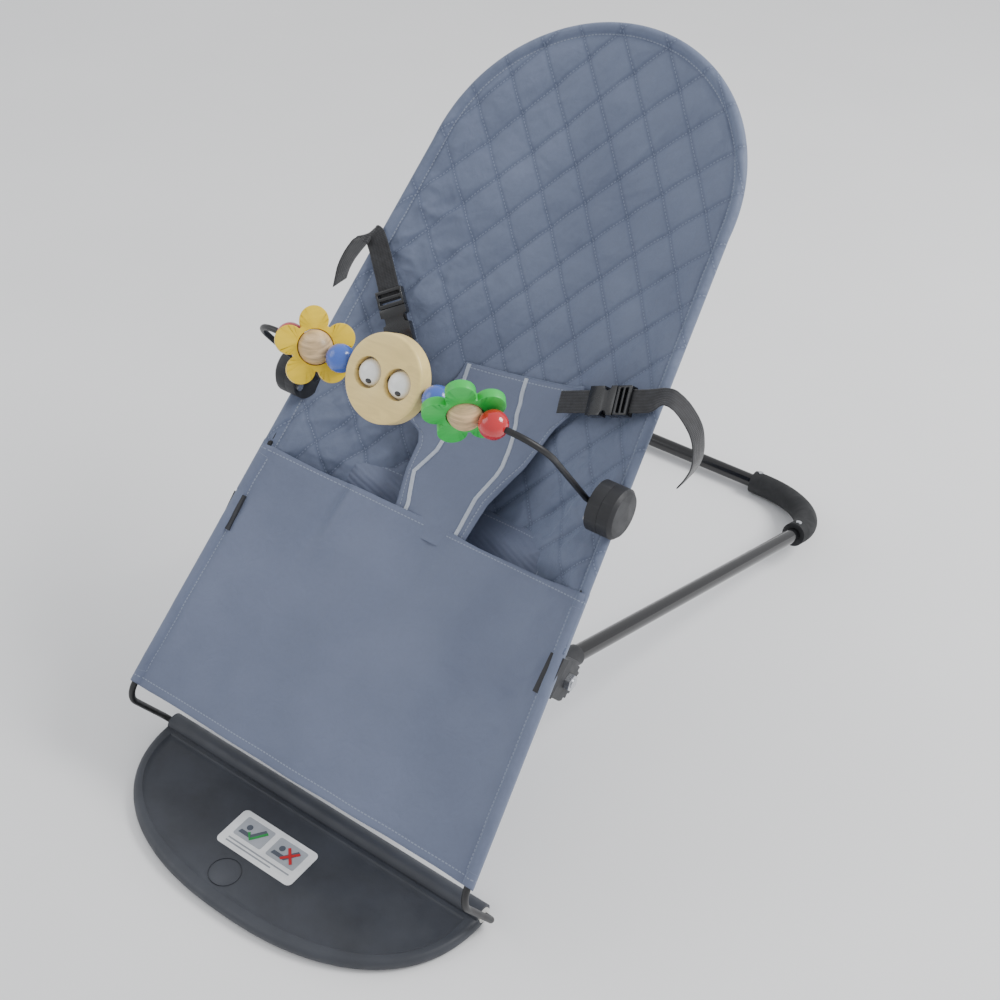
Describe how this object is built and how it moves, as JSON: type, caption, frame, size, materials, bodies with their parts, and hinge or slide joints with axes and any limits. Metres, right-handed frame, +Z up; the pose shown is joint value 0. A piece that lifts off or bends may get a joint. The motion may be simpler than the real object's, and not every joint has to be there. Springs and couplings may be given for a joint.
{
  "type": "bouncer seat",
  "caption": "Folding wire-framed bouncer seat for babies: fabric sling with crotch restraint and buckles, U-shaped rear leg, hinged half-moon foot plate and a toy bar with beads.",
  "frame": {"origin": "centre of the bounding box, on the floor", "axes": "+Z up; +Y from the foot plate towards the head end; +X across the seat, to the right of somebody standing at the foot end and looking at the head end"},
  "size_m": [0.3958, 0.7944, 0.569],
  "materials": {
    "plate": "satin moulded",
    "label": "printed film",
    "nylon": "moulded nylon",
    "frame": "black powder coat",
    "moulding": "fine-grained black moulding",
    "leg": "glossy black paint",
    "rubber": "matt rubber",
    "steel": "plated",
    "quilt": "quilted woven polyester",
    "cloth": "plain woven polyester",
    "piping": "reflective tape",
    "webbing": "woven polypropylene webbing",
    "buckle": "moulded acetal",
    "red": "gloss paint on wood",
    "blue": "gloss paint on wood",
    "yellow": "satin paint on wood",
    "green": "satin paint on wood",
    "wood": "clear satin",
    "face": "pale yellow satin paint on wood",
    "white": "gloss",
    "pupil": "gloss"
  },
  "bodies": {
    "seat": {"frame_wire": "frame", "rail_bracket_left": "moulding", "rail_bracket_right": "moulding", "pivot_pin_left": "steel", "pivot_pin_right": "steel", "pivot_nut_left": "steel", "pivot_nut_right": "steel", "sling": "quilt", "pocket_pad": "quilt", "leg_cover": "cloth", "restraint_panel": "cloth", "panel_piping": "piping", "wing_strap_left": "webbing", "wing_strap_right": "webbing", "buckle_female_left": "buckle", "buckle_female_right": "buckle", "clamp_inner_left": "moulding", "clamp_inner_right": "moulding", "clamp_outer_left": "moulding", "clamp_outer_right": "moulding", "clamp_screws": "steel"},
    "foot": {"foot_plate": "plate", "foot_label": "label", "hinge_bushings": "nylon"},
    "leg": {"leg_hub_left": "moulding", "leg_hub_right": "moulding", "leg_tube": "leg", "corner_sleeve_left": "rubber", "corner_sleeve_right": "rubber", "sleeve_rivets": "steel"},
    "toy_bar": {"toy_wire": "frame"},
    "male_left": {"buckle_male_left": "buckle", "rail_strap_left": "webbing"},
    "male_right": {"buckle_male_right": "buckle", "rail_strap_right": "webbing"},
    "eye_l": {"eye_left": "white", "pupil_left": "pupil"},
    "eye_r": {"eye_right": "white", "pupil_right": "pupil"},
    "face": {"face_disc": "face"},
    "red_l": {"red_bead_left": "red"},
    "red_r": {"red_bead_right": "red"},
    "blue_l": {"blue_bead_left": "blue"},
    "blue_r": {"blue_bead_right": "blue"},
    "ball_l": {"wood_ball_left": "wood"},
    "ball_r": {"wood_ball_right": "wood"},
    "flower_l": {"yellow_flower": "yellow"},
    "flower_r": {"green_flower": "green"}
  },
  "joints": [
    {"name": "leg_fold", "type": "hinge", "parent": "seat", "child": "leg", "pos_m": [0, -0.14492, 0.18138], "axis": [1, 0, 0], "range_deg": [0, 60]},
    {"name": "foot_fold", "type": "hinge", "parent": "seat", "child": "foot", "pos_m": [0, -0.2687, 0.0095], "axis": [1, 0, 0], "range_deg": [-40, 43.8]},
    {"name": "toy_bar_swing", "type": "hinge", "parent": "seat", "child": "toy_bar", "pos_m": [0, -0.07993, 0.31298], "axis": [1, 0, 0], "range_deg": [-45, 55]},
    {"name": "buckle_release_left", "type": "slide", "parent": "seat", "child": "male_left", "axis": [-0.5602, 0.3524, 0.7497], "range_m": [0, 0.02]},
    {"name": "buckle_release_right", "type": "slide", "parent": "seat", "child": "male_right", "axis": [0.8679, -0.163, 0.4693], "range_m": [0, 0.02]},
    {"name": "face_spin", "type": "hinge", "parent": "toy_bar", "child": "face", "pos_m": [0, -0.15301, 0.41067], "axis": [1, 0, 0], "continuous": true},
    {"name": "eye_spin_left", "type": "hinge", "parent": "toy_bar", "child": "eye_l", "pos_m": [0, -0.15301, 0.41067], "axis": [1, 0, 0], "continuous": true},
    {"name": "eye_spin_right", "type": "hinge", "parent": "toy_bar", "child": "eye_r", "pos_m": [0, -0.15301, 0.41067], "axis": [1, 0, 0], "continuous": true},
    {"name": "red_spin_left", "type": "hinge", "parent": "toy_bar", "child": "red_l", "pos_m": [0, -0.15301, 0.41067], "axis": [1, 0, 0], "continuous": true},
    {"name": "red_spin_right", "type": "hinge", "parent": "toy_bar", "child": "red_r", "pos_m": [0, -0.15301, 0.41067], "axis": [1, 0, 0], "continuous": true},
    {"name": "blue_spin_left", "type": "hinge", "parent": "toy_bar", "child": "blue_l", "pos_m": [0, -0.15301, 0.41067], "axis": [1, 0, 0], "continuous": true},
    {"name": "blue_spin_right", "type": "hinge", "parent": "toy_bar", "child": "blue_r", "pos_m": [0, -0.15301, 0.41067], "axis": [1, 0, 0], "continuous": true},
    {"name": "ball_spin_left", "type": "hinge", "parent": "toy_bar", "child": "ball_l", "pos_m": [0, -0.15301, 0.41067], "axis": [1, 0, 0], "continuous": true},
    {"name": "ball_spin_right", "type": "hinge", "parent": "toy_bar", "child": "ball_r", "pos_m": [0, -0.15301, 0.41067], "axis": [1, 0, 0], "continuous": true},
    {"name": "yellow_flower_spin", "type": "hinge", "parent": "toy_bar", "child": "flower_l", "pos_m": [0, -0.15301, 0.41067], "axis": [1, 0, 0], "continuous": true},
    {"name": "green_flower_spin", "type": "hinge", "parent": "toy_bar", "child": "flower_r", "pos_m": [0, -0.15301, 0.41067], "axis": [1, 0, 0], "continuous": true}
  ]
}
